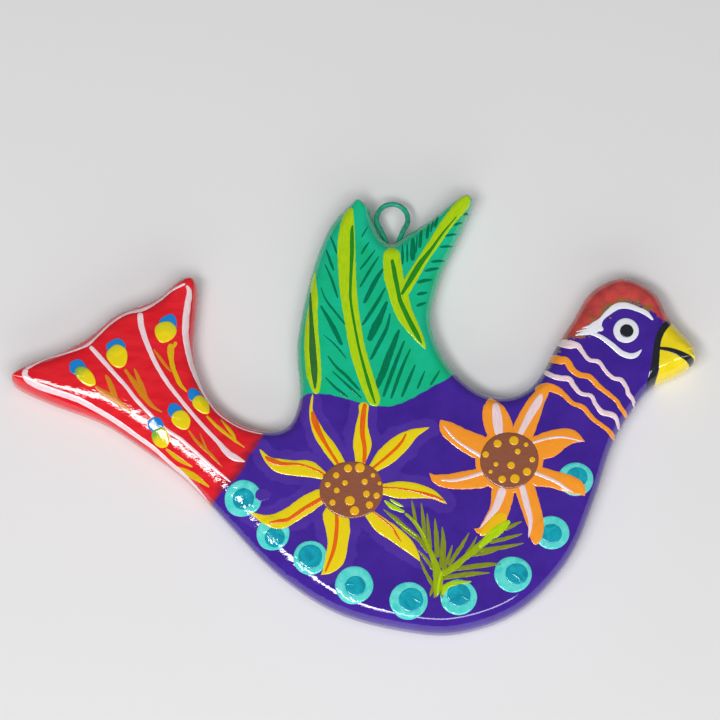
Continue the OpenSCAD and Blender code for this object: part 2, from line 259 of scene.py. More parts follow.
SUNFLOWER_PETALS = [
    [(-1.6, -10.4, 1.6), (-2.3, -9.2, 1.9), (-3.8, -6.9, 2.3), (-5.5, -4.4, 2), (-6.5, -2.1, 1.4),
     (-7, -0.2, 0.65), (-6.9, 1.4, 0.45), (-6.7, 2.7, 0.3)],
    [(1.1, -10.4, 1.8), (1.3, -8.9, 1.9), (1.6, -6.2, 3.2), (1.5, -3.2, 2.2), (1.8, -0.7, 1.6),
     (1.9, 1.2, 2.1)],
    [(2.5, -11.1, 1.6), (3.5, -10.2, 1.8), (5.5, -8.3, 3.2), (8, -6, 3.2), (10.2, -4.3, 1.8),
     (11.8, -3.6, 0.8), (12.9, -3.2, 0.3)],
    [(4, -13.9, 1.8), (5.2, -13.9, 2), (7.5, -14, 3), (10.2, -14.1, 2.8), (13.2, -14.7, 1.7),
     (14.7, -15.6, 0.9), (15.8, -16.4, 0.25)],
    [(2, -17.2, 1.5), (2.8, -18.1, 1.7), (4.7, -20, 2.7), (7.1, -21.7, 2.6), (9.2, -23.5, 2.15),
     (10.7, -25.3, 1), (11.2, -26.2, 0.25)],
    [(-2.9, -16.8, 3.6), (-3.1, -18, 4.2), (-2.5, -20.5, 4.2), (-2.5, -23.1, 3.5), (-3, -25.8, 3.3),
     (-4.1, -27.5, 2), (-5.3, -28.5, 0.45)],
    [(-4.4, -14.4, 2.4), (-5.3, -15, 2.7), (-7.7, -16.5, 3.2), (-10, -18.1, 2.95), (-12.4, -19.3, 2.95),
     (-14.7, -19, 1.6), (-16.5, -18.1, 0.55), (-17.4, -17.9, 0.25)],
    [(-3.9, -12.1, 1.2), (-4.8, -11.6, 1.4), (-7.3, -10.4, 2.95), (-10, -10.2, 2.7), (-12.5, -9.7, 2.5),
     (-14.2, -8.7, 1.25), (-15.6, -6.9, 0.25)],
]
SUNFLOWER_MIDLINES = [
    [(-2.3, -9.8, 0.5), (-4.3, -6.5, 0.6), (-5.7, -3.9, 0.95), (-6.4, -2, 1.15), (-6.8, -0.3, 0.5)],
    [(1.9, -9.4, 0.7), (2, -6.9, 0.75), (1.6, -3.9, 0.9), (1.8, -0.9, 0.95), (2.1, 1, 0.65)],
    [(3, -10.6, 0.45), (6.4, -7.7, 0.6), (8.2, -5.8, 0.55), (9, -4.3, 0.35)],
    [(4.6, -13.6, 0.45), (8, -13.8, 0.35), (11.4, -14.5, 0.55), (13.6, -15.2, 0.75), (15.4, -15.9, 0.3)],
    [(3.3, -17.7, 0.3), (6.4, -20.3, 0.4), (7.4, -21.8, 0.4), (8.1, -23, 0.2)],
    [(-2.7, -17.8, 0.65), (-2.7, -20.8, 0.75), (-3.2, -24.3, 0.75), (-4.6, -28.1, 0.35)],
    [(-5, -15.4, 0.85), (-8.2, -17.3, 0.8), (-10.6, -19, 0.75), (-12.4, -19.4, 0.7), (-14, -19.7, 0.4)],
    [(-4.3, -12.1, 0.45), (-5.5, -10.9, 0.4), (-8.8, -9.6, 0.4), (-11.7, -9.5, 0.75), (-13.5, -9, 1.05),
     (-14.7, -8.2, 0.4)],
]
DAISY_PETALS = [
    [(25.3, -6.2, 4.2), (25, -4.7, 4.6), (24.1, -1.6, 4.6), (23.4, 0.8, 3.1), (23.2, 2.3, 1.3)],
    [(27.9, -5.6, 3.7), (28.4, -4.2, 3.9), (29.8, -0.8, 3.4), (30.9, 1.6, 2.7), (32.1, 3.3, 1.95),
     (32.8, 4.4, 1)],
    [(28.8, -7.4, 3.8), (30.2, -6.9, 4.1), (32.6, -6.2, 4.6), (34.8, -5.1, 3.6), (36.7, -4.8, 2.5),
     (38.7, -5.6, 0.35)],
    [(29.4, -11.2, 3.5), (30.7, -11.6, 3.6), (33.2, -12.1, 3.1), (35.8, -12.9, 3.1), (37.6, -13.8, 2.6),
     (38.6, -14.9, 0.8)],
    [(28.2, -12.2, 3.2), (28.7, -13.7, 3.4), (29.8, -17.4, 3.2), (30.5, -20.3, 2.7), (30.4, -23.4, 1.5)],
    [(25.5, -12.2, 3.6), (25.2, -13.7, 3.9), (24.6, -17.2, 3.4), (23.4, -19.5, 3.1), (21.6, -21, 1.8),
     (20.3, -20.7, 0.5)],
    [(23.2, -11.6, 3.4), (21.8, -11.9, 3.6), (18.9, -12.3, 3.2), (16.1, -12.5, 2.6), (14, -12.1, 1.7),
     (12.9, -11.1, 0.35)],
    [(22.6, -7.4, 4.2), (21.2, -6.6, 4.4), (18.2, -5, 3.6), (15.9, -3.3, 2.85), (14.8, -1.9, 1.4)],
]
DAISY_MIDLINES = [
    [(24.6, -4.6, 1.4), (24.3, -1.6, 1.7), (24, 1.2, 1.1)],
    [(27.9, -4.6, 0.9), (29.6, -1.2, 1.3), (31, 1.2, 1.4), (31.7, 2.7, 0.6)],
    [(29.9, -5.9, 0.45), (32.7, -5.1, 0.45), (35.3, -4.9, 0.4), (38.4, -5.6, 0.2)],
    [(30.3, -11, 0.65), (33.5, -12.4, 0.65), (35.3, -13.6, 0.55), (36.8, -14.5, 0.25)],
    [(28.2, -13.1, 1.1), (29.1, -16.9, 1.1), (29.6, -19.3, 0.8), (29.3, -22.2, 0.25)],
    [(25.2, -13.6, 1.5), (24, -16.9, 1.25), (22.5, -19, 0.65), (21.2, -20.7, 0.2)],
    [(22, -11, 0.7), (18.9, -12, 0.6), (16.8, -12.4, 0.55), (14.8, -12.3, 0.3)],
    [(21.7, -8.3, 0.75), (17.9, -5.8, 0.45), (16.3, -4.2, 0.4), (15.3, -2.9, 0.2)],
]
PETAL_SMEAR = [(21.3, -21.8, 0.7), (22.9, -20.4, 1.8), (24.8, -18.8, 2.1), (25.7, -18.2, 0.7)]
SPRIG_STEMS = [
    [(8.8, -18, 0.45), (10.4, -19.6, 0.6), (11.8, -21.9, 0.65), (12.9, -24.3, 0.8), (13.7, -26.4, 1.1),
     (14.2, -28.2, 1.6), (14.3, -29.9, 1.7), (14.1, -31.5, 1), (14, -32.3, 0.3)],
    [(14.8, -28.6, 1.1), (17, -27.1, 1.15), (19.3, -25.2, 1.05), (21.4, -23.4, 1.25), (23.2, -22, 1.4)],
]
SPRIG_LIGHTS = [
    [(5.3, -15.8, 0.3), (6.6, -16.9, 0.95), (8.7, -17.8, 0.5)],
    [(6.2, -15.6, 0.2), (7.3, -16.3, 0.65), (8.5, -16.9, 0.3)],
    [(21.1, -23.8, 0.5), (22.8, -22.1, 1.4), (24.6, -20.7, 1.6), (26.2, -19.3, 0.65)],
    [(14.2, -31.9, 0.3), (14.4, -29.7, 0.55), (14.9, -27.9, 0.45)],
    [(19.8, -29.7, 0.25), (17.1, -30, 0.9), (15.6, -30.5, 1.1), (15, -31.9, 0.5)],
    [(10.3, -19.1, 0.2), (11.2, -20.4, 0.3), (12.3, -22.3, 0.2)],
    [(7.3, -19.3, 0.15), (9.1, -20.7, 0.3), (10.8, -22, 0.2)],
]
SPRIG_NEEDLES = [
    [(5.1, -17.3, 0.2), (7.3, -19.1, 0.85), (9.2, -20.9, 1), (11.2, -22.6, 0.95), (12.8, -24.8, 0.8)],
    [(10.8, -24.2, 0.2), (12.1, -25.6, 0.65), (13.5, -27.7, 0.8)],
    [(11.1, -25.6, 0.2), (12.1, -27.9, 0.65), (13.4, -30.4, 0.8)],
    [(9.9, -15.8, 0.2), (10.2, -17.3, 0.65), (10.6, -19.7, 0.65)],
    [(11.5, -16.2, 0.2), (11.8, -18.8, 0.75), (12.1, -22.3, 0.75)],
    [(12.5, -18, 0.2), (12.7, -20.8, 0.75), (13, -24.2, 0.8)],
    [(13.8, -18.9, 0.2), (14, -21.7, 0.85), (14.2, -25.6, 0.95)],
    [(15, -20.3, 0.2), (15.2, -23.3, 1), (14.9, -27.4, 1.1)],
    [(16.7, -23.4, 0.2), (16.2, -25.1, 0.65), (15.1, -27.8, 0.8)],
    [(19.5, -21.3, 0.2), (18.2, -23.6, 0.8), (16, -26.9, 0.8)],
    [(20.8, -21.9, 0.2), (20, -23.5, 0.6), (18.9, -25.1, 0.65)],
    [(28.2, -19.4, 0.2), (26.9, -20, 0.75), (25.3, -20.9, 0.75)],
    [(28.3, -21.5, 0.2), (26, -22.2, 0.8), (22.9, -23, 0.75)],
    [(28.5, -23.1, 0.2), (25.3, -23.8, 0.85), (20.9, -24.4, 0.75)],
    [(24.6, -24.1, 0.2), (22.3, -24.8, 0.75), (19.2, -25.3, 0.65)],
    [(24.8, -26.7, 0.2), (21.8, -26.9, 0.95), (16.4, -27.7, 0.8)],
    [(22.9, -28.2, 0.2), (19.6, -28.4, 0.9), (14.9, -29.1, 0.8)],
    [(13.8, -29.5, 0.9), (13.3, -31.1, 0.7), (12.9, -32.2, 0.25)],
    [(14.2, -30.4, 0.7), (13.8, -31.5, 0.6), (13.6, -32.5, 0.25)],
    [(14.6, -29.8, 0.9), (14.9, -31.3, 0.65), (15, -32.6, 0.25)],
]
BROWS = [
    [(50.3, 15.5, 0.3), (49.2, 16.6, 0.85), (47.9, 17.3, 0.9), (45.8, 18, 1.1), (44.2, 17.8, 1.2),
     (42.8, 16.8, 1), (41.6, 15.6, 0.75), (40.9, 14.6, 1.8), (40.1, 13.9, 1.9), (39, 13.4, 0.9),
     (37.4, 13, 0.25)],
    [(39.9, 14.1, 0.5), (38.6, 13.8, 0.35), (37.5, 13.6, 0.15)],
    [(40.3, 14.7, 0.5), (39.3, 14.4, 0.35), (38.5, 14.2, 0.12)],
    [(40.5, 14.3, 1.2), (41.3, 14.1, 1.1), (41.9, 13.7, 0.8)],
    [(39.3, 13.5, 0.55), (41.3, 12.7, 0.75), (43.2, 11.2, 0.95), (44.7, 9.8, 1.05), (46.2, 9.2, 1.05),
     (47.3, 9.4, 0.9), (48.3, 10.3, 0.15)],
]
WHITE_BANDS = [
    [(34.2, 12.5, 1.3), (36.1, 11.5, 1.6), (37.7, 11.2, 1.05), (38.5, 10.1, 0.75), (39.6, 8.6, 0.7),
     (41.1, 8.2, 0.75), (42.1, 6.7, 0.7), (43.4, 5.4, 0.7), (44.8, 5, 0.85), (45.7, 3.6, 0.7),
     (46, 2.6, 0.85), (46.9, 1.6, 0.75), (47.3, 0.1, 0.55)],
    [(31.9, 7.3, 0.75), (33.3, 6, 0.95), (34.8, 5.5, 1), (36.3, 5.3, 1.05), (37.1, 4, 0.85),
     (38.2, 2.7, 0.75), (39.8, 2.3, 0.75), (40.6, 0.7, 0.75), (41.7, -0.6, 1.05), (43.7, -1.3, 0.95),
     (44.6, -3.7, 0.35)],
]
ORANGE_BANDS = [
    [(32.9, 9.7, 1.5), (34.6, 8.7, 1.6), (35.9, 8.5, 1.3), (36.7, 7.1, 1.15), (38, 6, 1), (39.6, 5.6, 1),
     (40.9, 4.1, 0.95), (42.5, 2.7, 0.85), (43.8, 1.6, 0.75), (44.7, 0.2, 0.85), (46, -1.2, 0.75)],
    [(30.7, 3.2, 2), (32.5, 3.9, 1.7), (34.2, 3.4, 1.3), (35.3, 2.6, 0.95), (36.7, 1.1, 0.85),
     (38.5, 0.3, 0.85), (39.8, -1.4, 0.85), (41.3, -2.7, 0.75), (42.6, -3.7, 0.85), (43.9, -4.9, 1.1)],
]
BEAK_LINES = [
    [(53.2, 15.5, 1.05), (51.8, 13.8, 1.2), (51.1, 12.1, 1.1), (50.8, 10.5, 1.2), (50.6, 8.6, 1.3),
     (50.3, 6.7, 1.45), (49.8, 4.8, 1.3), (49.4, 3.4, 0.75)],
    [(51.1, 10.6, 0.55), (53.1, 10.3, 0.8), (55, 9.5, 1.1), (57.2, 8.2, 1.25)],
]
DOT_RIDGES = [
    [(-1.4, -30.2, 0.3), (-0.7, -30.1, 0.5), (0.1, -30.2, 0.3)],
    [(9.9, -32.5, 0.3), (10.6, -32.8, 0.6), (11.4, -33.3, 0.4)],
    [(18, -32.2, 0.3), (18.8, -32.5, 0.6), (19.6, -33, 0.4)],
    [(26.4, -28.4, 0.4), (27.2, -28.7, 0.7), (27.9, -29.4, 0.7), (27.8, -30, 0.4)],
]

# Hatching of the wing: the width of each thin stroke, and places along it from its pointed end to the quill
BARBS = [
    (0.45, [(-4, 30), (-3.4, 28.4), (-2.9, 26.8)]), (0.5, [(-4.7, 27.6), (-4.1, 25.8), (-3.4, 23.8)]),
    (0.45, [(-4.9, 25), (-3.8, 22.4), (-2.7, 19)]),
    (0.4, [(-5.6, 20.9), (-4.7, 18.7), (-3.1, 16.5), (-1.4, 14.3)]),
    (0.75, [(-5.6, 17.7), (-4.2, 15.3), (-3.1, 13.1), (-2, 10.8)]),
    (0.3, [(-5.1, 12.6), (-3.8, 11.5), (-2.5, 10.1), (-1.3, 8.5)]),
    (0.55, [(-4.4, 9), (-2.9, 7), (-1.2, 5.4), (1, 2.9)]), (0.45, [(-3.6, 6.3), (-1, 3.8), (1.3, 1.6)]),
    (0.5, [(-4.8, 5.3), (-3, 3.4), (-1, 1.8)]), (0.3, [(2.4, 31.6), (1.8, 30.6), (1.3, 29.6)]),
    (0.4, [(2.6, 28.8), (2, 28), (1.2, 26.6)]), (0.4, [(3.6, 27.5), (2.5, 25.9), (1, 23.9)]),
    (0.5, [(4.2, 26.3), (2.8, 24), (1, 20.8)]), (0.75, [(5, 24.2), (3.6, 21.9), (1.7, 18)]),
    (0.65, [(5.3, 20.8), (3.8, 18), (1.4, 14.2)]),
    (1.1, [(5.6, 18.4), (4.5, 15.8), (3.5, 13.7), (2.5, 11.5)]),
    (0.7, [(6.1, 16.3), (5.5, 13.7), (4.3, 11.2), (2.8, 8.2)]),
    (1.05, [(7.6, 13.5), (6.8, 11.3), (5.8, 8.7), (4.8, 5.8), (3.4, 2.8)]),
    (0.7, [(8.5, 11.6), (7.5, 9.1), (6.2, 5.5), (4.9, 1.8)]),
    (0.6, [(9.5, 10.2), (8.4, 7.7), (7.3, 4.7), (6.2, 1.5)]), (0.6, [(10.3, 7.5), (9.2, 4.8), (8, 1.8)]),
    (0.45, [(11.9, 6.4), (10.6, 3.2)]), (0.45, [(14.4, 6.5), (12.8, 3.9)]),
    (0.5, [(8.2, 28.4), (8.2, 24.9)]), (0.4, [(9, 28.7), (9, 25.3)]), (0.9, [(10, 29.6), (9.9, 25.5)]),
    (0.35, [(10.7, 30.1), (10.5, 26.9)]), (0.65, [(11.4, 31.1), (11.1, 27.7)]),
    (0.6, [(12.7, 32.2), (12.3, 29.3)]), (0.4, [(13.4, 32.8), (13, 30.5)]),
    (0.65, [(14.2, 33.4), (13.6, 31.3)]), (0.35, [(19.4, 34.3), (18.4, 33.7)]),
    (0.4, [(18.3, 32.5), (16.8, 31.7)]), (0.45, [(17.4, 30.5), (15.3, 29.8)]),
    (0.45, [(16.7, 28.5), (14.5, 27.9)]), (0.5, [(15.3, 25.9), (13, 25.3)]),
    (0.6, [(14.4, 24.5), (11.9, 23.7)]), (0.65, [(13.2, 22.4), (10.6, 21.7)]),
    (0.6, [(12.4, 20.1), (10.6, 19.6)]), (0.55, [(12.2, 18.4), (10.5, 17.6)]),
    (0.4, [(-1.8, 33.5), (-2, 31.4)]),
]

# Round dabs: x, y and width, and the length where it differs
DOTS = [
    (-18.3, -15.35, 6.2), (-13.3, -21.4, 5.6), (-7.1, -25.6, 5.8), (0.25, -30.25, 6.4), (9.35, -32.9, 6.4),
    (17.65, -32.35, 6.1), (26.65, -28.45, 6.2), (33.05, -21.3, 5.8), (37.1, -12.1, 5.8),
]
DOT_CENTRES = [
    (-18.25, -15.5, 3.6), (-13, -22.1, 3.4), (-7.1, -25.45, 4.1), (0.45, -30.45, 3.4), (9.75, -32.8, 4.1),
    (17.7, -32, 3.9), (27.25, -28.4, 3.7), (33.05, -21.5, 3.4), (37.3, -11.8, 3.5),
]
DAISY_HEART = (26.2, -8.9, 11.4)
DISCS = [(-0.2, -13.9, 9.9, 10.8), (26.2, -8.9, 9.8, 9.8)]
SEEDS = [
    (-0.8, -10.3, 1.4), (1.2, -10.2, 1.7), (-2.8, -11.5, 1.1), (-4.2, -13.1, 1), (-1.3, -12.8, 1),
    (-2.7, -14.1, 1), (2, -12.6, 1.1), (3.4, -11.5, 0.8), (4.5, -12.9, 0.7), (2.3, -14.7, 1.2),
    (4, -15, 1.1), (-0.5, -15.9, 1.7), (2.8, -16.6, 1.3), (0.3, -17.6, 1.6), (-3.4, -16.2, 1.1),
    (24.3, -6, 1.4), (27, -5.5, 1.6), (29, -6.2, 0.8), (27.6, -7.4, 1), (30, -8.8, 1), (22.3, -7.9, 1.15),
    (24, -9.6, 0.85), (26.5, -9.8, 1.3), (29.1, -10.9, 1.4), (23.1, -10.9, 0.7), (25, -12.2, 1.3),
    (27.1, -12.1, 1.6),
]
EYE = (45.7, 13.6, 4.3)
PUPIL = (45.8, 13.5, 2.3)

# Turned dabs: x, y, width, length and the way that the far end points
VIOLET_TOUCH = (-15, -14.8, 2.2, 2.7, 15)
BUDS = [
    (-44.7, 5.7, 2.5, 4.2, 133), (-39.4, 9.2, 3.4, 4.1, 108), (-31.5, 13.5, 3.5, 3.9, 75),
    (-25.3, 0.8, 2.5, 3.6, 122), (-28.7, -1.9, 2.9, 3.6, 120), (-32.1, -4.8, 2.8, 3.6, 120),
]
BUD_TIPS = [
    (-46, 7.3, 2.8, 3.3, 134), (-39.7, 10.9, 3.3, 2.9, 105), (-31.1, 14.8, 3.1, 3.9, 62),
    (-26.5, 2.5, 2.3, 2.7, 122), (-29.7, -0.3, 2.5, 2.9, 120), (-33, -2.7, 2.6, 3, 125),
]

# The worn edge of the neck, where specks gather
WORN_EDGE = [(35, 11.4), (34.2, 10.6), (33.4, 9), (32.6, 8.2), (32.2, 6.7)]


def cad_points(node):
    """The node's vertices in millimetres."""
    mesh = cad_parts[node].data
    co = np.zeros(len(mesh.vertices) * 3, np.float32)
    mesh.vertices.foreach_get("co", co)
    return co.reshape(-1, 3).astype(float) / MM


def spline(points, steps, closed=False):
    """Points of a smooth curve through the given points."""
    p = np.asarray(points, float)
    if closed:
        p = np.vstack([p[-1:], p, p[:2]])
    else:
        p = np.vstack([2 * p[0] - p[1], p, 2 * p[-1] - p[-2]])
    a, b, c, d = (x[:, None, :] for x in (p[:-3], p[1:-2], p[2:-1], p[3:]))
    t = (np.arange(steps) / steps)[None, :, None]
    curve = (2 * b + (c - a) * t + (2 * a - 5 * b + 4 * c - d) * t**2 + (3 * b - a - 3 * c + d) * t**3) / 2
    curve = curve.reshape(-1, p.shape[1])
    return curve if closed else np.vstack([curve, p[-2]])


def cad_outline():
    """The outline of the clay body, counterclockwise from above, read from the foot of its upright side."""
    microns = 1000
    ring_points = 100
    points = cad_points("clay_body")
    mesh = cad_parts["clay_body"].data
    keys = [tuple(k) for k in np.round(points * microns).astype(int)]
    levels = {}
    for key in set(keys):
        levels.setdefault(round(key[2], -1), []).append(key)
    widths = {z: np.ptp([k[0] for k in ring]) for z, ring in levels.items() if len(ring) > ring_points}
    widest = max(widths.values())
    level = min(z for z, width in widths.items() if width > widest - 1)
    near = {}
    for edge in mesh.edges:
        a, b = (keys[i] for i in edge.vertices)
        if a != b and round(a[2], -1) == level and round(b[2], -1) == level:
            near.setdefault(a, set()).add(b)
            near.setdefault(b, set()).add(a)
    walk = [min(near)]
    last = None
    while True:
        ahead = [k for k in near[walk[-1]] if k != last]
        last = walk[-1]
        if ahead[0] == walk[0]:
            break
        walk.append(ahead[0])
    loop = np.array(walk, float)[:, :2] / microns
    area = np.sum(loop[:, 0] * np.roll(loop[:, 1], -1) - loop[:, 1] * np.roll(loop[:, 0], -1))
    return loop if area > 0 else loop[::-1]


def edge_distance(points, loop):
    """Distance from each point to a closed loop, positive inside it."""
    batch = 4000
    out = np.zeros(len(points))
    ab = np.roll(loop, -1, 0) - loop
    for start in range(0, len(points), batch):
        p = points[start:start + batch, None, :]
        ap = p - loop
        t = np.clip((ap * ab).sum(2) / np.maximum((ab * ab).sum(1), 1e-12), 0, 1)
        near = np.linalg.norm(ap - t[:, :, None] * ab, axis=2).min(1)
        spans = (loop[:, 1] > p[:, :, 1]) != ((loop + ab)[:, 1] > p[:, :, 1])
        with np.errstate(divide="ignore", invalid="ignore"):
            cross = loop[:, 0] + ab[:, 0] * (p[:, :, 1] - loop[:, 1]) / ab[:, 1]
        inside = (spans & (p[:, :, 0] < cross)).sum(1) % 2 == 1
        out[start:start + batch] = np.where(inside, near, -near)
    return out


def inward_normals(loop):
    d = np.roll(loop, -1, 0) - np.roll(loop, 1, 0)
    return np.stack([-d[:, 1], d[:, 0]], 1) / np.linalg.norm(d, axis=1)[:, None]


def smooth_step(x, low, high):
    t = np.clip((x - low) / (high - low), 0, 1)
    return t * t * (3 - 2 * t)


def placed(points):
    """Places of paint, moved from where they were first read to where they sit."""
    x, y = np.asarray(points, float)[:, :2].T
    head = smooth_step(x, *HEAD_SPAN)
    upper = smooth_step(y, *UPPER_SPAN)
    by_flowers = np.exp(-(((x - FLOWER_X) / FLOWER_REACH) ** 2))
    left = (LEFT + UPPER_LEFT * upper) * (1 - head)
    left += FLOWER_LEFT * (1 - FLOWER_UPPER_LOSS * upper) * by_flowers
    down = DOWN_RATE * (np.minimum(y, DOWN_TOP) - DOWN_FROM) * (1 - DOWN_HEAD_LOSS * head)
    return np.stack([x - left, y - down], 1)


def stroke_distance(points, path):
    """Distance from each point to the side of a brush stroke, negative inside it."""
    curve = spline(path, 8)
    away = np.linalg.norm(points[:, None, :] - placed(curve)[None, :, :], axis=2) - curve[None, :, 2] / 2
    return away.min(1)


def half_widths(loop, inward):
    """Radius of the largest circle inside the loop that touches it at each point."""
    out = []
    for p, n in zip(loop, inward):
        d = loop - p
        rise = d @ n
        ok = rise > 1e-4
        out.append(((d[ok] ** 2).sum(1) / (2 * rise[ok])).min())
    return np.array(out)


def wave(x, y, size, seed=0.0):
    """Smooth noise from -1 to 1 over distances of about the given size."""
    return noise.noise(Vector((x / size, y / size, seed)))


def linked(name, data):
    obj = bpy.data.objects.new(name, data)
    bpy.context.scene.collection.objects.link(obj)
    return obj


def new_object(name, vertices, faces, uvs=None):
    mesh = bpy.data.meshes.new(name)
    corners = [tuple(v) for v in np.asarray(vertices) * MM]
    mesh.from_pydata(corners, [], [tuple(int(i) for i in f) for f in faces])
    mesh.update()
    mesh.polygons.foreach_set("use_smooth", [True] * len(mesh.polygons))
    if uvs is not None:
        layer = mesh.uv_layers.new(name="UVMap")
        order = np.zeros(len(mesh.loops), int)
        mesh.loops.foreach_get("vertex_index", order)
        layer.data.foreach_set("uv", np.asarray(uvs, np.float32)[order].ravel())
    return linked(name, mesh)


def store(obj, name, values):
    attribute = obj.data.attributes.new(name, "FLOAT", "POINT")
    attribute.data.foreach_set("value", np.asarray(values, np.float32))


def ring_faces(rings, count, flip=False):
    """Faces between closed rings of points, each with the same count."""
    faces = []
    for r in range(rings - 1):
        for i in range(count):
            a, b = r * count + i, r * count + (i + 1) % count
            faces.append((a, a + count, b + count, b) if flip else (a, b, b + count, a + count))
    return faces


def fill_loop(loop, spacing):
    """Triangles that fill a closed loop, with a regular grid of extra points inside it.

    Returns the extra points and the triangles, which count the loop's points first."""
    low, high = loop.min(0), loop.max(0)
    rows = np.arange(low[1], high[1], spacing * math.sqrt(3) / 2)
    columns = np.arange(low[0], high[0], spacing)
    grid = np.array([(x + (i % 2) * spacing / 2, y) for i, y in enumerate(rows) for x in columns])
    grid = grid[edge_distance(grid, loop[::3]) > spacing * GRID_MARGIN]
    points = [Vector(p) for p in np.vstack([loop, grid])]
    ring = list(range(len(loop)))
    _, _, faces, origin, _, _ = geometry.delaunay_2d_cdt(points, [], [ring], 1, 1e-6)
    index = [o[0] for o in origin]
    return grid, [[index[i] for i in f] for f in faces]


def face_roll(outline, inward, room):
    """How far the edge of the face rolls in at each place: softer on the head and on the tail's near edge.

    At thin tips the roll keeps to a share of the room there."""
    x, y = outline.T
    tail = smooth_step(-x, *TAIL_SPAN) * smooth_step(inward @ np.array(NEAR_EDGE_WAY), *NEAR_EDGE_SPAN)
    head = smooth_step(x, *NECK_SPAN) * smooth_step(y, *CHEEK_SPAN)
    roll = ROLL_IN + (TAIL_ROLL_IN - ROLL_IN) * tail + (HEAD_ROLL_IN - ROLL_IN) * head
    pad = ROLL_SMOOTHING
    window = np.ones(2 * pad + 1) / (2 * pad + 1)
    roll = np.convolve(np.concatenate([roll[-pad:], roll, roll[:pad]]), window, "valid")
    return np.minimum(roll, (ROLL_LIMIT + (TAIL_ROLL_LIMIT - ROLL_LIMIT) * tail) * room)


def make_bird(outline):
    """The clay bird: a rolled edge round the outline, a crowned face and a flat back."""
    count = len(outline)
    inward = inward_normals(outline)
    room = half_widths(outline, inward)
    face_in = face_roll(outline, inward, room)
    back_in = np.minimum(BACK_ROLL_IN, ROLL_LIMIT * room)
    rings = []
    for a in np.radians(np.linspace(0, 90, BACK_RINGS)):
        ring = outline + inward * (back_in * (1 - math.sin(a)))[:, None]
        rings.append((ring, BACK_ROLL_UP * (1 - math.cos(a))))
    for a in np.radians(np.linspace(0, 90, FACE_RINGS)):
        ring = outline + inward * (face_in * (1 - math.cos(a)))[:, None]
        rings.append((ring, CLAY_T - ROLL_DOWN * (1 - math.sin(a))))
    vertices = [(x, y, z) for ring, z in rings for x, y in ring]
    faces = ring_faces(len(rings), count)
    first = (len(rings) - 1) * count
    face_grid, triangles = fill_loop(rings[-1][0], GRID)
    base = len(vertices)
    vertices += [(x, y, CLAY_T) for x, y in face_grid]
    faces += [[i + first if i < count else i - count + base for i in f] for f in triangles]
    back_grid, triangles = fill_loop(rings[0][0], BACK_GRID)
    base = len(vertices)
    vertices += [(x, y, 0) for x, y in back_grid]
    back_start = len(faces)
    faces += [[i if i < count else i - count + base for i in reversed(f)] for f in triangles]
    vertices = np.array(vertices, float)
    flat = vertices[:, :2]
    distance = edge_distance(flat, outline[::4])
    lift = np.clip(vertices[:, 2] / CLAY_T, 0, 1) ** 2
    crown = CROWN * (1 - np.exp(-(np.maximum(distance - ROLL_IN, 0) / CROWN_REACH) ** 2))
    uneven = [SWELL * wave(x, y, SWELL_SIZE) + RIPPLE * wave(x, y, RIPPLE_SIZE, 7) for x, y in flat]
    vertices[:, 2] += lift * (crown + np.array(uneven))
    bird = new_object("painted_bird", vertices, faces)
    zones = {"wing": WING_ZONE, "tail": TAIL_ZONE, "crown": CROWN_ZONE, "beak": BEAK_ZONE}
    for name, zone in zones.items():
        store(bird, name, edge_distance(flat, placed(spline(zone, 6, closed=True))))
    store(bird, "edge", distance)
    store(bird, "brushed", BRUSHED * smooth_step(-vertices[:, 0], *BRUSHED_SPAN))
    store(bird, "halo", -np.min([stroke_distance(flat, path) for path in SUNFLOWER_PETALS], axis=0))
    for polygon in bird.data.polygons[back_start:]:
        polygon.material_index = 1
    return bird


class Surface:
    """The clay and the paint already laid on it, as one surface to lay more paint on."""

    def __init__(self, bird):
        self.vertices = []
        self.faces = []
        self.add(bird)
        self.clay = self.tree

    def add(self, obj):
        base = len(self.vertices)
        self.vertices += [v.co / MM for v in obj.data.vertices]
        self.faces += [[i + base for i in p.vertices] for p in obj.data.polygons]
        self.tree = BVHTree.FromPolygons(self.vertices, self.faces)

    def lay(self, points, heights):
        """The flat points laid on the surface and raised by their heights, down the side past the edge."""
        out = []
        down = Vector((0, 0, -1))
        for (x, y), h in zip(points, heights):
            spot, _, _, _ = self.tree.ray_cast(Vector((x, y, 4 * CLAY_T)), down)
            if spot is None:
                side = Vector((x, y, SIDE_TOP))
                near, _, _, _ = self.clay.find_nearest(side)
                past = (near - side).length
                spot, normal, _, _ = self.clay.find_nearest(Vector((x, y, max(SIDE_TOP - past, LOWEST))))
            else:
                _, normal, _, _ = self.clay.find_nearest(spot)
            out.append(spot + normal * h)
        return np.array(out)


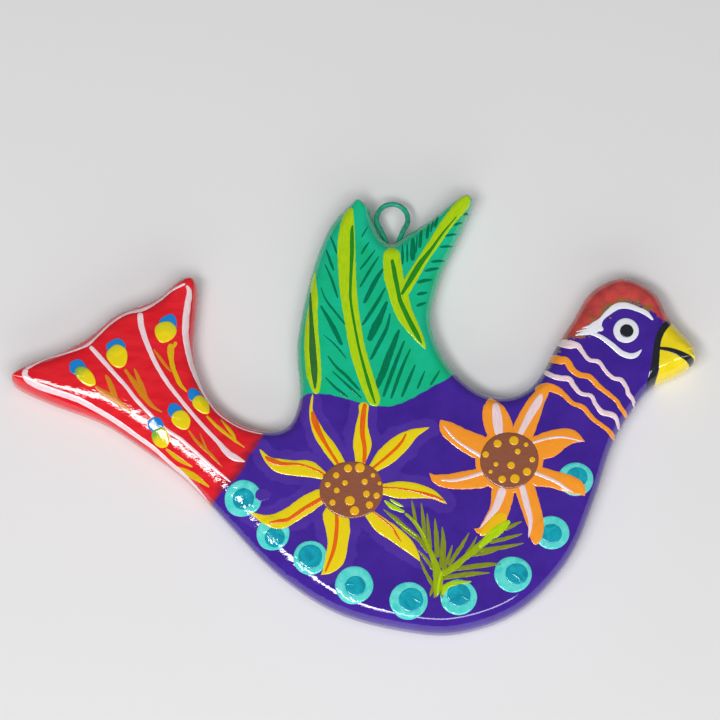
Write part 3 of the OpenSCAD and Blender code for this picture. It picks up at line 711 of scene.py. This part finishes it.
def stroke(path, height=STROKE_T, ragged=RAGGED):
    """One stroke of the brush: a domed ribbon with round ends and slightly ragged sides.

    Returns flat points, their heights over the surface, faces and texture places."""
    curve = spline(path, 10)
    run = np.concatenate([[0], np.cumsum(np.linalg.norm(np.diff(curve[:, :2], axis=0), axis=1))])
    length = run[-1]
    cap = min(max(curve[0, 2], curve[-1, 2]) / 2, length / 3)
    body = np.linspace(cap, length - cap, max(6, int(length / STROKE_STEP)))
    s = np.unique(np.concatenate([body, cap * END_SHARES, length - cap * END_SHARES]))
    x, y, width = (np.interp(s, run, curve[:, i]) for i in range(3))
    way = np.stack([np.gradient(x, s), np.gradient(y, s)], 1)
    way /= np.linalg.norm(way, axis=1)[:, None]
    end = np.minimum(s, length - s) / cap
    taper = np.sqrt(np.clip(1 - (1 - np.minimum(end, 1)) ** 2, 0.002, 1))
    half = np.maximum(width / 2 * taper, THINNEST)
    columns = int(np.clip(width.max() / COLUMN_W, 2, 6)) * 2 + 1
    points, heights, uvs = [], [], []
    for i in range(len(s)):
        for v in np.sin(np.linspace(-math.pi / 2, math.pi / 2, columns)):
            rough = 1 + ragged * wave(x[i] + 9 * v, y[i], 0.8, 3)
            out = v * half[i] * rough
            points.append((x[i] - way[i, 1] * out, y[i] + way[i, 0] * out))
            dome = height * min(1, 0.45 + width[i] * 0.45) * taper[i] * (1 - abs(v) ** 5)
            heights.append(dome - SINK * (abs(v) > 0.99))
            uvs.append((s[i] / UV_SIZE, out / UV_SIZE))
    faces = []
    for i in range(len(s) - 1):
        for j in range(columns - 1):
            a = i * columns + j
            faces.append((a, a + columns, a + columns + 1, a + 1))
    return points, heights, faces, uvs


def strokes(paths, height=STROKE_T, ragged=RAGGED):
    return [stroke(path, height, ragged) for path in paths]


def barb(width, places):
    """One thin stroke of the hatching, pointed at its outer end and fullest past its middle."""
    x, y = spline(places, 4).T
    s = np.linspace(0, 1, len(x))
    width = width * (0.45 + 0.25 * s + 0.6 * np.sin(math.pi * s**1.3) ** 0.7)
    return stroke(list(zip(x, y, width)), THIN_T, ragged=0.2)


def dab(x, y, width, length=None, turn=0, *, height, ragged=0.04, egg=0.0):
    """One round or egg-shaped dab of thick paint, in the same form as a stroke."""
    length = length or width
    c, s = math.cos(math.radians(turn)), math.sin(math.radians(turn))
    points, heights, uvs = [], [], []
    for share, rise in DAB_RINGS:
        for i in range(DAB_SIDES):
            a = 2 * math.pi * i / DAB_SIDES
            rough = share * (1 + ragged * wave(x + 1.3 * math.cos(a), y + 1.3 * math.sin(a), 1.1, 5))
            u = length / 2 * rough * math.cos(a)
            v = width / 2 * rough * math.sin(a) * (1 + egg * math.cos(a))
            points.append((x + u * c - v * s, y + u * s + v * c))
            heights.append(height * rise - SINK * (share == 1))
            uvs.append((u / UV_SIZE, v / UV_SIZE))
    return points, heights, ring_faces(len(DAB_RINGS), DAB_SIDES), uvs


def dabs(places, height, **form):
    return [dab(*place, height=height, **form) for place in places]


def crown_specks():
    """Dry specks of olive along the lower edge of the crown and on the worn edge of the neck."""
    draw = random.Random(11)
    edge = np.vstack([spline(CROWN_ZONE[1:11], 12), spline(WORN_EDGE, 6)])
    shapes = []
    for _ in range(SPECKS):
        x, y = edge[draw.randrange(len(edge))]
        width = draw.uniform(0.12, 0.38)
        x = x + draw.gauss(0, 0.5)
        y = y + draw.gauss(0, 0.3) + 0.1
        length = width * draw.uniform(1, 2.6)
        shapes.append(dab(x, y, width, length, draw.uniform(0, 180), height=THIN_T, ragged=0.5))
    return shapes


def paint_piece(name, shapes, paint, node=None, moved=True):
    """All strokes or dabs of one paint, laid on the surface as one piece."""
    points, heights, faces, uvs = [], [], [], []
    for p, h, f, t in shapes:
        faces += [[i + len(points) for i in face] for face in f]
        points += p
        heights += h
        uvs += t
    points = placed(points) if moved else points
    piece = new_object(name, surface.lay(points, heights), faces, uvs)
    piece.data.materials.append(paints[paint])
    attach(piece, "root")
    if node:
        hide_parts(node)
    surface.add(piece)


def make_hanger():
    """The wire loop, swept along the middle line that its CAD node has."""
    sides = 16
    low, high = (np.array(corner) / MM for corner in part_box("hanger_loop"))
    wire = high[2] - low[2]
    radius = (high[0] - low[0] - wire) / 2
    middle = np.array([(low[0] + high[0]) / 2, high[1] - radius - wire / 2, (low[2] + high[2]) / 2])
    feet = cad_points("hanger_loop")
    feet = feet[feet[:, 1] < low[1] + 0.5]
    leg = (np.ptp(feet[:, 0]) - wire) / 2
    foot = (leg, low[1] - middle[1])
    side = [foot, (leg, -2.1 * radius), (leg, -1.75 * radius), (leg + 0.2, -1.35 * radius)]
    eye = [(radius * math.cos(a), radius * math.sin(a)) for a in np.radians(np.linspace(-40, 220, 60))]
    path = spline(side + eye + [(-x, y) for x, y in reversed(side)], 4)
    way = np.gradient(path, axis=0)
    way /= np.linalg.norm(way, axis=1)[:, None]
    vertices = []
    for (x, y), (dx, dy) in zip(path, way):
        thick = wire / 2 * (1 + 0.05 * wave(x, y, 0.7, 2))
        for i in range(sides):
            a = 2 * math.pi * i / sides
            out, up = thick * math.cos(a), thick * math.sin(a)
            vertices.append(middle + (x - dy * out, y + dx * out, up))
    faces = ring_faces(len(path), sides, flip=True)
    faces += [tuple(range(sides)), tuple(reversed(range(len(vertices) - sides, len(vertices))))]
    return new_object("wire_loop", vertices, faces)


def srgb(r, g, b):
    """A colour as it looks on screen, from 0 to 255, in the linear form that the shader takes."""
    linear = [(c / 255 / 12.92) if c < 10.31 else ((c / 255 + 0.055) / 1.055) ** 2.4 for c in (r, g, b)]
    return (*linear, 1)


def new_material(name):
    material = bpy.data.materials.new(name)
    material.use_nodes = True
    return material, material.node_tree, material.node_tree.nodes["Principled BSDF"]


def add(tree, kind, inputs=None, **settings):
    """A new node with its settings and its inputs, where an input is a value or another node's output."""
    node = tree.nodes.new(kind)
    for key, value in settings.items():
        setattr(node, key, value)
    for key, value in (inputs or {}).items():
        if isinstance(value, bpy.types.NodeSocket):
            tree.links.new(value, node.inputs[key])
        else:
            node.inputs[key].default_value = value
    return node


def object_places(tree):
    return add(tree, "ShaderNodeTexCoord").outputs["Object"]


def stored(tree, name):
    return add(tree, "ShaderNodeAttribute", attribute_name=name).outputs["Fac"]


def blend_colours(tree, share, a, b):
    return add(tree, "ShaderNodeMix", {0: share, 6: a, 7: b}, data_type="RGBA").outputs[2]


def noise_value(tree, vector, scale, detail=3, roughness=0.55, distortion=0.0):
    grain = {"Detail": detail, "Roughness": roughness, "Distortion": distortion}
    return add(tree, "ShaderNodeTexNoise", {"Vector": vector, "Scale": scale, **grain}).outputs["Fac"]


def ramp(tree, value, low, high, to_low=0.0, to_high=1.0):
    inputs = {"Value": value, "From Min": low, "From Max": high, "To Min": to_low, "To Max": to_high}
    return add(tree, "ShaderNodeMapRange", inputs).outputs["Result"]


def combined(tree, operation, a, b):
    return add(tree, "ShaderNodeMath", {0: a, 1: b}, operation=operation).outputs[0]


def unsteady(tree, value, vector, scale, low, high):
    """The value with noise added that runs from low to high."""
    return combined(tree, "ADD", value, ramp(tree, noise_value(tree, vector, scale), 0.25, 0.75, low, high))


def stretched(tree, vector, turn, scale):
    """Texture places turned about Z and squeezed, so that noise runs in streaks."""
    inputs = {"Vector": vector, "Rotation": (0, 0, math.radians(turn)), "Scale": scale}
    return add(tree, "ShaderNodeMapping", inputs).outputs["Vector"]


def gloss(shader, roughness=0.5, coat=1.0):
    """Matt paint under a clear varnish, which alone gives the gloss."""
    shader.inputs["Roughness"].default_value = roughness
    shader.inputs["Specular IOR Level"].default_value = 0.0
    shader.inputs["Coat Weight"].default_value = coat
    shader.inputs["Coat Roughness"].default_value = 0.05
    shader.inputs["Coat IOR"].default_value = 1.8


def rough_up(tree, shader, value, strength, distance):
    bump = add(tree, "ShaderNodeBump", {"Height": value, "Strength": strength, "Distance": distance * MM})
    tree.links.new(bump.outputs["Normal"], shader.inputs["Normal"])
    tree.links.new(bump.outputs["Normal"], shader.inputs["Coat Normal"])


def zone_share(tree, name, vector, ragged, scale, soft, start=0.0):
    """1 inside the named zone and 0 outside it, with a ragged, brushed edge that starts so far inside."""
    inside = unsteady(tree, stored(tree, name), vector, scale, -ragged, ragged)
    return ramp(tree, inside, start - soft, start + soft)


def two_tone(tree, vector, scale, a, b):
    return blend_colours(tree, ramp(tree, noise_value(tree, vector, scale), 0.35, 0.65), srgb(*a), srgb(*b))


def base_coats(tree, position):
    """The colour of the base coats: purple body, green wing, red tail, dull red crown and yellow beak."""
    along_tail = stretched(tree, position, 38, (0.3, 1, 1))
    purple = two_tone(tree, position, 220, (58, 26, 142), (66, 33, 152))
    violet = two_tone(tree, position, 220, (72, 40, 154), (80, 47, 162))
    around = unsteady(tree, stored(tree, "halo"), position, 300, -0.5, 0.7)
    colour = blend_colours(tree, ramp(tree, around, -1.5, -1.25), purple, violet)
    green = two_tone(tree, position, 300, (0, 182, 126), (8, 188, 146))
    maroon = srgb(148, 24, 50)
    red = two_tone(tree, along_tail, 700, (214, 16, 34), (228, 32, 44))
    crown = two_tone(tree, position, 420, (178, 60, 62), (212, 76, 70))
    yellow = two_tone(tree, position, 300, (236, 209, 8), (241, 219, 30))
    coats = [
        (maroon, "tail", along_tail, 0.25, 420, 0.2),
        (red, "tail", along_tail, 0.6, 600, 0.6, 0.8),
        (green, "wing", position, 0.2, 350, 0.07),
        (crown, "crown", position, 0.5, 900, 0.2),
        (yellow, "beak", position, 0.1, 500, 0.06),
    ]
    for coat, *zone in coats:
        colour = blend_colours(tree, zone_share(tree, *zone), colour, coat)
    return colour


def painted_clay_material():
    material, tree, shader = new_material("painted_clay")
    position = object_places(tree)
    tree.links.new(base_coats(tree, position), shader.inputs["Base Color"])
    marks = noise_value(tree, stretched(tree, position, 38, (0.45, 1, 1)), 900)
    marks = combined(tree, "MULTIPLY", marks, stored(tree, "brushed"))
    fine = ramp(tree, noise_value(tree, position, 900), 0, 1, 0, 0.12)
    rough_up(tree, shader, combined(tree, "ADD", marks, fine), 1, 0.12)
    gloss(shader)
    return material


def bare_clay_material():
    """The bare clay of the back, with the base coats run a little way over its edge."""
    material, tree, shader = new_material("bare_clay")
    position = object_places(tree)
    clay = two_tone(tree, position, 240, (176, 104, 76), (194, 122, 92))
    painted = ramp(tree, unsteady(tree, stored(tree, "edge"), position, 420, -1.4, 1.4), 2.6, 2.3)
    colour = blend_colours(tree, painted, clay, base_coats(tree, position))
    tree.links.new(colour, shader.inputs["Base Color"])
    rough_up(tree, shader, noise_value(tree, position, 2600, 4), 0.35, 0.1)
    shader.inputs["Roughness"].default_value = 0.8
    return material


def wire_material():
    material, tree, shader = new_material("green_wire")
    worn = noise_value(tree, object_places(tree), 1500)
    colour = blend_colours(tree, ramp(tree, worn, 0.45, 0.65), srgb(34, 164, 130), srgb(48, 128, 110))
    tree.links.new(colour, shader.inputs["Base Color"])
    rough_up(tree, shader, worn, 0.3, 0.08)
    gloss(shader, 0.4, 0.5)
    return material


def paint_material(name, a, b, coat=1.0, wet=None):
    """Thick brushed paint that runs from one colour to another in streaks along the stroke.

    Towards the far end of a dab it runs into the wet colour, if any, most of all low on the left."""
    material, tree, shader = new_material(name)
    place = add(tree, "ShaderNodeUVMap", uv_map="UVMap").outputs["UV"]
    streaks = noise_value(tree, stretched(tree, place, 0, (4, 40, 1)), 1.5)
    colour = blend_colours(tree, ramp(tree, streaks, 0.3, 0.7), srgb(*a), srgb(*b))
    if wet:
        along = add(tree, "ShaderNodeSeparateXYZ", {"Vector": place}).outputs["X"]
        position = object_places(tree)
        up_right = add(tree, "ShaderNodeVectorMath", {0: position, 1: (1, 1, 0)}, operation="DOT_PRODUCT")
        most = ramp(tree, up_right.outputs["Value"], -0.036, -0.031, 0.85, 0.25)
        share = ramp(tree, unsteady(tree, along, position, 260, -0.14, 0.12), -0.03, 0.13)
        colour = blend_colours(tree, combined(tree, "MULTIPLY", share, most), colour, srgb(*wet))
    tree.links.new(colour, shader.inputs["Base Color"])
    rough_up(tree, shader, streaks, 0.3, 0.04)
    gloss(shader, coat=coat)
    return material


def dot_material(name, a, b):
    """Thick paint dabbed on with a twist of the brush, so that its surface stays lumpy."""
    material, tree, shader = new_material(name)
    swirl = noise_value(tree, object_places(tree), 420, 2, 0.5, 1.5)
    colour = blend_colours(tree, ramp(tree, swirl, 0.3, 0.7), srgb(*a), srgb(*b))
    tree.links.new(colour, shader.inputs["Base Color"])
    rough_up(tree, shader, swirl, 1, 0.15)
    gloss(shader)
    return material


def look_at(obj, target):
    obj.rotation_euler = (Vector(target) - obj.location).to_track_quat("-Z", "Y").to_euler()


def make_camera():
    data = bpy.data.cameras.new("camera")
    data.sensor_width = SENSOR
    data.lens = SENSOR * VIEW_DISTANCE / VIEW_WIDTH
    data.clip_start = 0.01
    camera = linked("camera", data)
    tilt = math.radians(VIEW_ELEVATION)
    target = Vector(VIEW_TARGET) * MM
    camera.location = target + Vector((0, -math.cos(tilt), math.sin(tilt))) * VIEW_DISTANCE * MM
    look_at(camera, target)
    bpy.context.scene.camera = camera


def area_light(name, azimuth, elevation, distance, width, height, power, in_gloss):
    """A soft light aimed at the bird, in metres and watts. Azimuth 0 is +X and 90 is +Y."""
    data = bpy.data.lights.new(name, "AREA")
    data.shape = "RECTANGLE"
    data.size = width
    data.size_y = height
    data.energy = power
    light = linked(name, data)
    a, e = math.radians(azimuth), math.radians(elevation)
    light.location = Vector((math.cos(a) * math.cos(e), math.sin(a) * math.cos(e), math.sin(e))) * distance
    light.visible_glossy = in_gloss
    look_at(light, (0, 0, 0))


def make_stage():
    bpy.ops.mesh.primitive_plane_add(size=FLOOR_SIZE, location=(0, 0, 0))
    floor = bpy.context.object
    floor.name = "floor"
    material, _, shader = new_material("pale_floor")
    shader.inputs["Base Color"].default_value = srgb(*FLOOR_COLOUR)
    shader.inputs["Roughness"].default_value = 0.6
    shader.inputs["Specular IOR Level"].default_value = 0.2
    floor.data.materials.append(material)
    world = bpy.data.worlds.new("world")
    bpy.context.scene.world = world
    world.use_nodes = True
    background = world.node_tree.nodes["Background"]
    background.inputs["Color"].default_value = (1, 1, 1, 1)
    background.inputs["Strength"].default_value = WORLD_STRENGTH
    for name, setting in LIGHTS.items():
        area_light(name, *setting)


outline = spline(cad_outline(), OUTLINE_STEPS, closed=True)
bird = make_bird(outline)
bird.data.materials.append(painted_clay_material())
bird.data.materials.append(bare_clay_material())
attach(bird, "root")
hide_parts("clay_body")
surface = Surface(bird)

hanger = make_hanger()
hanger.data.materials.append(wire_material())
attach(hanger, "root")
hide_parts("hanger_loop")

paints = {name: paint_material(f"{name}_paint", *look) for name, look in PAINTS.items()}
paints |= {name: dot_material(f"{name}_paint", *look) for name, look in DOT_PAINTS.items()}

paint_piece("wing_barbs", [barb(*b) for b in BARBS], "dark_green", moved=False)
paint_piece("wing_quills", strokes(QUILLS, QUILL_T), "lime")
paint_piece("leaf_heart", strokes([LEAF_HEART], LINE_T), "shade_green")
paint_piece("quill_midlines", strokes(QUILL_MIDLINES, LINE_T), "leaf_green")
paint_piece("bud_stems", strokes(STEMS, THIN_T, 0.25), "ochre_stem")
paint_piece("light_bud_stems", strokes(LIGHT_STEMS, THIN_T, 0.25), "light_stem")
paint_piece("tail_lines", strokes(TAIL_LINES, ragged=0.16), "pale_pink")
paint_piece("bud_tip_dabs", dabs(BUD_TIPS, BUD_TIP_T, ragged=0.14), "blue", "tail_bud_tips")
paint_piece("bud_dabs", dabs(BUDS, BUD_T, ragged=0.1, egg=0.2), "bud", "tail_buds")
paint_piece("crown_specks", crown_specks(), "speck")
paint_piece("white_neck_bands", strokes(WHITE_BANDS, ragged=0.25), "pale_pink")
paint_piece("orange_neck_bands", strokes(ORANGE_BANDS, ragged=0.25), "orange")
paint_piece("brow_lines", strokes(BROWS), "white")
paint_piece("beak_lines", strokes(BEAK_LINES), "black")
paint_piece("eye_white_dab", dabs([EYE], EYE_T), "white", "eye_white")
paint_piece("pupil_dab", dabs([PUPIL], PUPIL_T), "black", "eye_pupil")
paint_piece("dot_dabs", dabs(DOTS, DOT_T), "turquoise", "belly_dots")
paint_piece("dot_centre_dabs", dabs(DOT_CENTRES, DOT_CENTRE_T), "teal", "belly_dot_beads")
paint_piece("dot_ridges", strokes(DOT_RIDGES, DOT_RIDGE_T), "teal")
paint_piece("violet_touch", dabs([VIOLET_TOUCH], TOUCH_T, ragged=0.15), "violet")
daisy = dabs([DAISY_HEART], PETAL_T) + strokes(DAISY_PETALS, PETAL_T, 0.06)
paint_piece("daisy_petal_strokes", daisy, "orange", "daisy_petals")
paint_piece("daisy_midlines", strokes(DAISY_MIDLINES, MIDLINE_T), "pale_pink")
paint_piece("petal_smear", strokes([PETAL_SMEAR], SMEAR_T, 0.3), "amber")
paint_piece("sprig_needles", strokes(SPRIG_NEEDLES, THIN_T, 0.3), "olive")
paint_piece("sprig_stems", strokes(SPRIG_STEMS, LINE_T, 0.35), "moss")
paint_piece("sprig_lights", strokes(SPRIG_LIGHTS, LINE_T, 0.35), "lime")
sunflower = strokes(SUNFLOWER_PETALS, PETAL_T, 0.06)
paint_piece("sunflower_petal_strokes", sunflower, "yellow", "sunflower_petals")
paint_piece("sunflower_midlines", strokes(SUNFLOWER_MIDLINES, MIDLINE_T), "red_orange")
paint_piece("disc_dabs", dabs(DISCS, DISC_T), "brown", "flower_discs")
paint_piece("seed_dabs", dabs(SEEDS, SEED_T), "ochre", "flower_seeds")

make_camera()
make_stage()
bpy.context.scene.view_settings.view_transform = "Standard"
